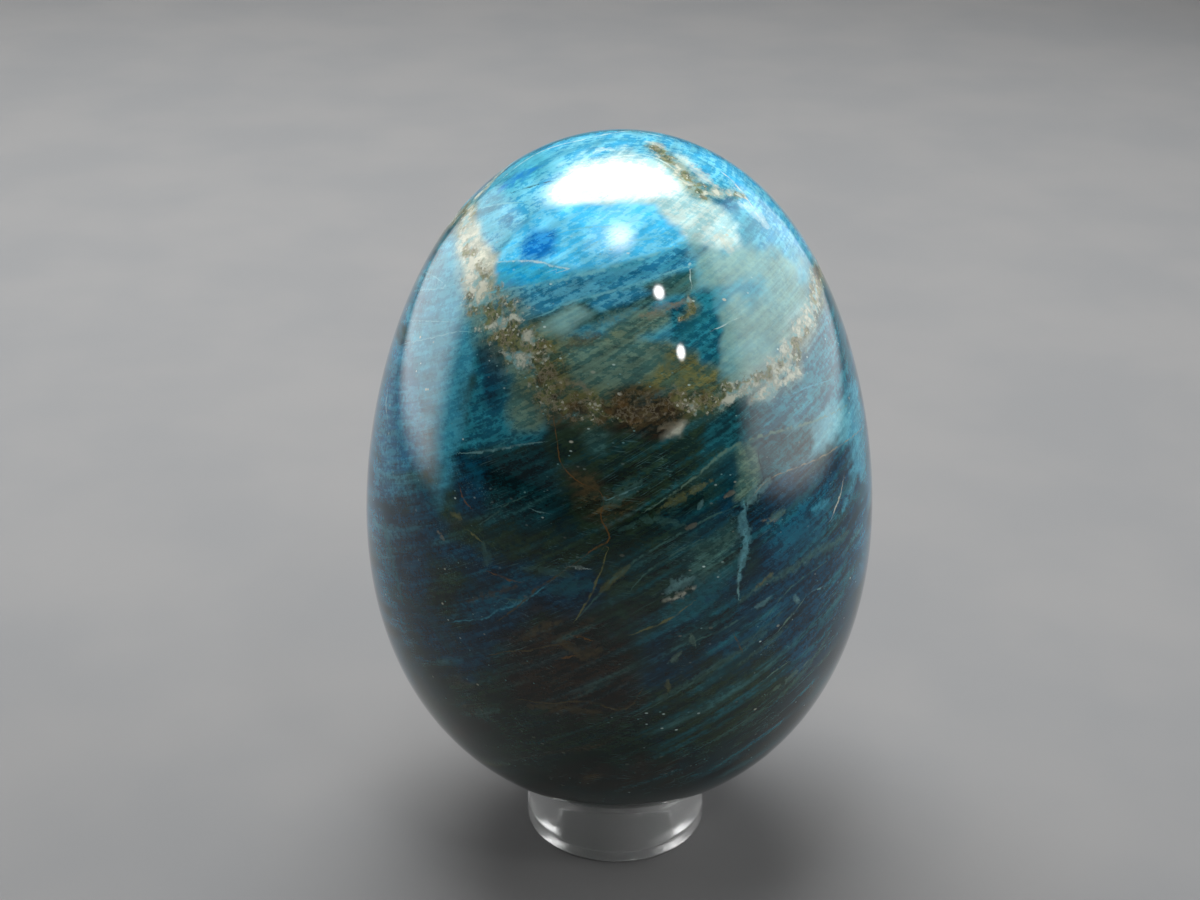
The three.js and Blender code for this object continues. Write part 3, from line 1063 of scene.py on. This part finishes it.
def make_ring():
    _, high = box_in_mm("ring_stand")
    outer, top = high[0], high[2]
    inner = outer - RING_WALL
    foot, shoulder, seat = RING_FOOT_RADIUS, RING_SHOULDER_RADIUS, RING_SEAT_RADIUS
    section = np.concatenate([
        arc((outer - foot, foot), foot, -90, 0),
        arc((outer - shoulder, top - shoulder), shoulder, 0, 90),
        arc((inner + seat, top - seat), seat, 90, 180),
        arc((inner + foot, foot), foot, 180, 270),
    ])
    turns = np.arange(RING_TURN_STEPS) * 2 * math.pi / RING_TURN_STEPS
    points = [(r * math.sin(a), -r * math.cos(a), z) for a in turns for r, z in section]
    here = np.arange(len(points)).reshape(RING_TURN_STEPS, -1)
    there = np.roll(here, -1, axis=0)
    faces = np.stack([here, there, np.roll(there, -1, axis=1), np.roll(here, -1, axis=1)], axis=-1)
    ring = mesh_object("clear_ring", points, faces.reshape(-1, 4), acrylic_material())
    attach(ring, "stand")
    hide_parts("ring_stand")


# Studio: a pale floor, two lights overhead, a softbox each side, a front lamp with a core, and two bulbs

WATTS_PER_RADIANCE = math.pi
FLOOR_HALF_WIDTH = 6000
FLOOR_DROP = 0.02
FLOOR_FADE = 0.03  # metres above the floor over which every light dies away
SIDE_FADE = 0.26  # share of a softbox's half width over which it fades
SIDE_SPREAD = 140  # degrees
ROOM_GREY = 0.09


def fade_to_rim(data, fade):
    """Lets a light fall off smoothly towards its rim, over that share of its half width, and near
    the floor."""
    nodes = Nodes(data)
    geometry = nodes.add("ShaderNodeNewGeometry").outputs
    across = nodes.add("ShaderNodeSeparateXYZ", {0: geometry["Parametric"]}).outputs[:2]
    off_centre = [nodes.math("ABSOLUTE", nodes.math("MULTIPLY_ADD", axis, 2, -1)) for axis in across]
    if data.shape == "ELLIPSE":
        squares = [nodes.times(offset, offset) for offset in off_centre]
        off_centre = [nodes.math("SQRT", nodes.plus(*squares))]
    height = nodes.add("ShaderNodeSeparateXYZ", {0: geometry["Position"]}).outputs["Z"]
    strength = nodes.ease(height, 0, FLOOR_FADE)
    for offset in off_centre:
        strength = nodes.times(strength, nodes.ease(nodes.math("SUBTRACT", 1, offset), 0, fade))
    nodes.put(nodes.tree.nodes["Emission"].inputs["Strength"], strength)


def add_light(name, turn, centre, size, radiance, fade, shape, spread=180):
    data = bpy.data.lights.new(name, "AREA")
    data.shape = shape
    data.size, data.size_y = (side * MM for side in size)
    filled = math.pi / 4 if shape == "ELLIPSE" else 1
    data.energy = radiance * data.size * data.size_y * filled * WATTS_PER_RADIANCE
    data.spread = math.radians(spread)
    fade_to_rim(data, fade)
    add_object(name, data).matrix_world = placed(turn, centre)


def lamp(name, centre, aim, size, radiance, fade, shape="ELLIPSE"):
    """A light whose face looks at a point."""
    towards = (Vector(aim) - Vector(centre)).to_track_quat("-Z", "Y").to_matrix()
    add_light(name, towards, centre, size, radiance, fade, shape)


def side_softbox(name, x, corner, lean, size, radiance):
    """A softbox standing at x beside the egg. The corner is its near lower one, as y and z."""
    tilt = math.radians(lean)
    back = np.array([0, math.cos(tilt), -math.sin(tilt)])
    rise = np.array([0, math.sin(tilt), math.cos(tilt)])
    outward = np.array([math.copysign(1, x), 0, 0])
    centre = np.array([x, *corner]) + back * size[0] / 2 + rise * size[1] / 2
    turn = turned_to(np.cross(rise, outward), rise, outward)
    add_light(name, turn, centre, size, radiance, SIDE_FADE, "RECTANGLE", SIDE_SPREAD)


def make_floor():
    sides = ((-1, -1), (1, -1), (1, 1), (-1, 1))
    corners = [(x * FLOOR_HALF_WIDTH, y * FLOOR_HALF_WIDTH, -FLOOR_DROP) for x, y in sides]
    mesh_object("floor", corners, [(0, 1, 2, 3)], floor_material())


def make_studio():
    lamp("overhead_softbox", (-75, 245, 465), (-75, 215, 0), (600, 420), 2.2, 0.4)
    lamp("overhead_tube", (-45, 185, 460), (-45, 165, 0), (500, 300), 9.5, 0.3)
    side_softbox("left_softbox", -215, (-60, -20), 20, (450, 360), 1.75)
    side_softbox("right_softbox", 205, (-180, 38), 21, (510, 360), 1.5)
    lamp("front_lamp", (-35, -68, 470), (0, 0, 60), (180, 260), 1.8, 0.35, "RECTANGLE")
    lamp("front_lamp_core", (-10, -98, 466), (0, 0, 60), (150, 160), 16, 1)
    lamp("upper_bulb", (167, -312, 470), (0, 0, 60), (66, 66), 60, 0.9)
    lamp("lower_bulb", (249, -385, 312), (0, 0, 60), (50, 50), 55, 0.9)
    world = bpy.data.worlds.new("room")
    world.use_nodes = True
    world.node_tree.nodes["Background"].inputs["Color"].default_value = (ROOM_GREY,) * 3 + (1,)
    bpy.context.scene.world = world
    bpy.context.scene.view_settings.view_transform = "Standard"


make_camera()
make_egg()
make_ring()
make_floor()
make_studio()
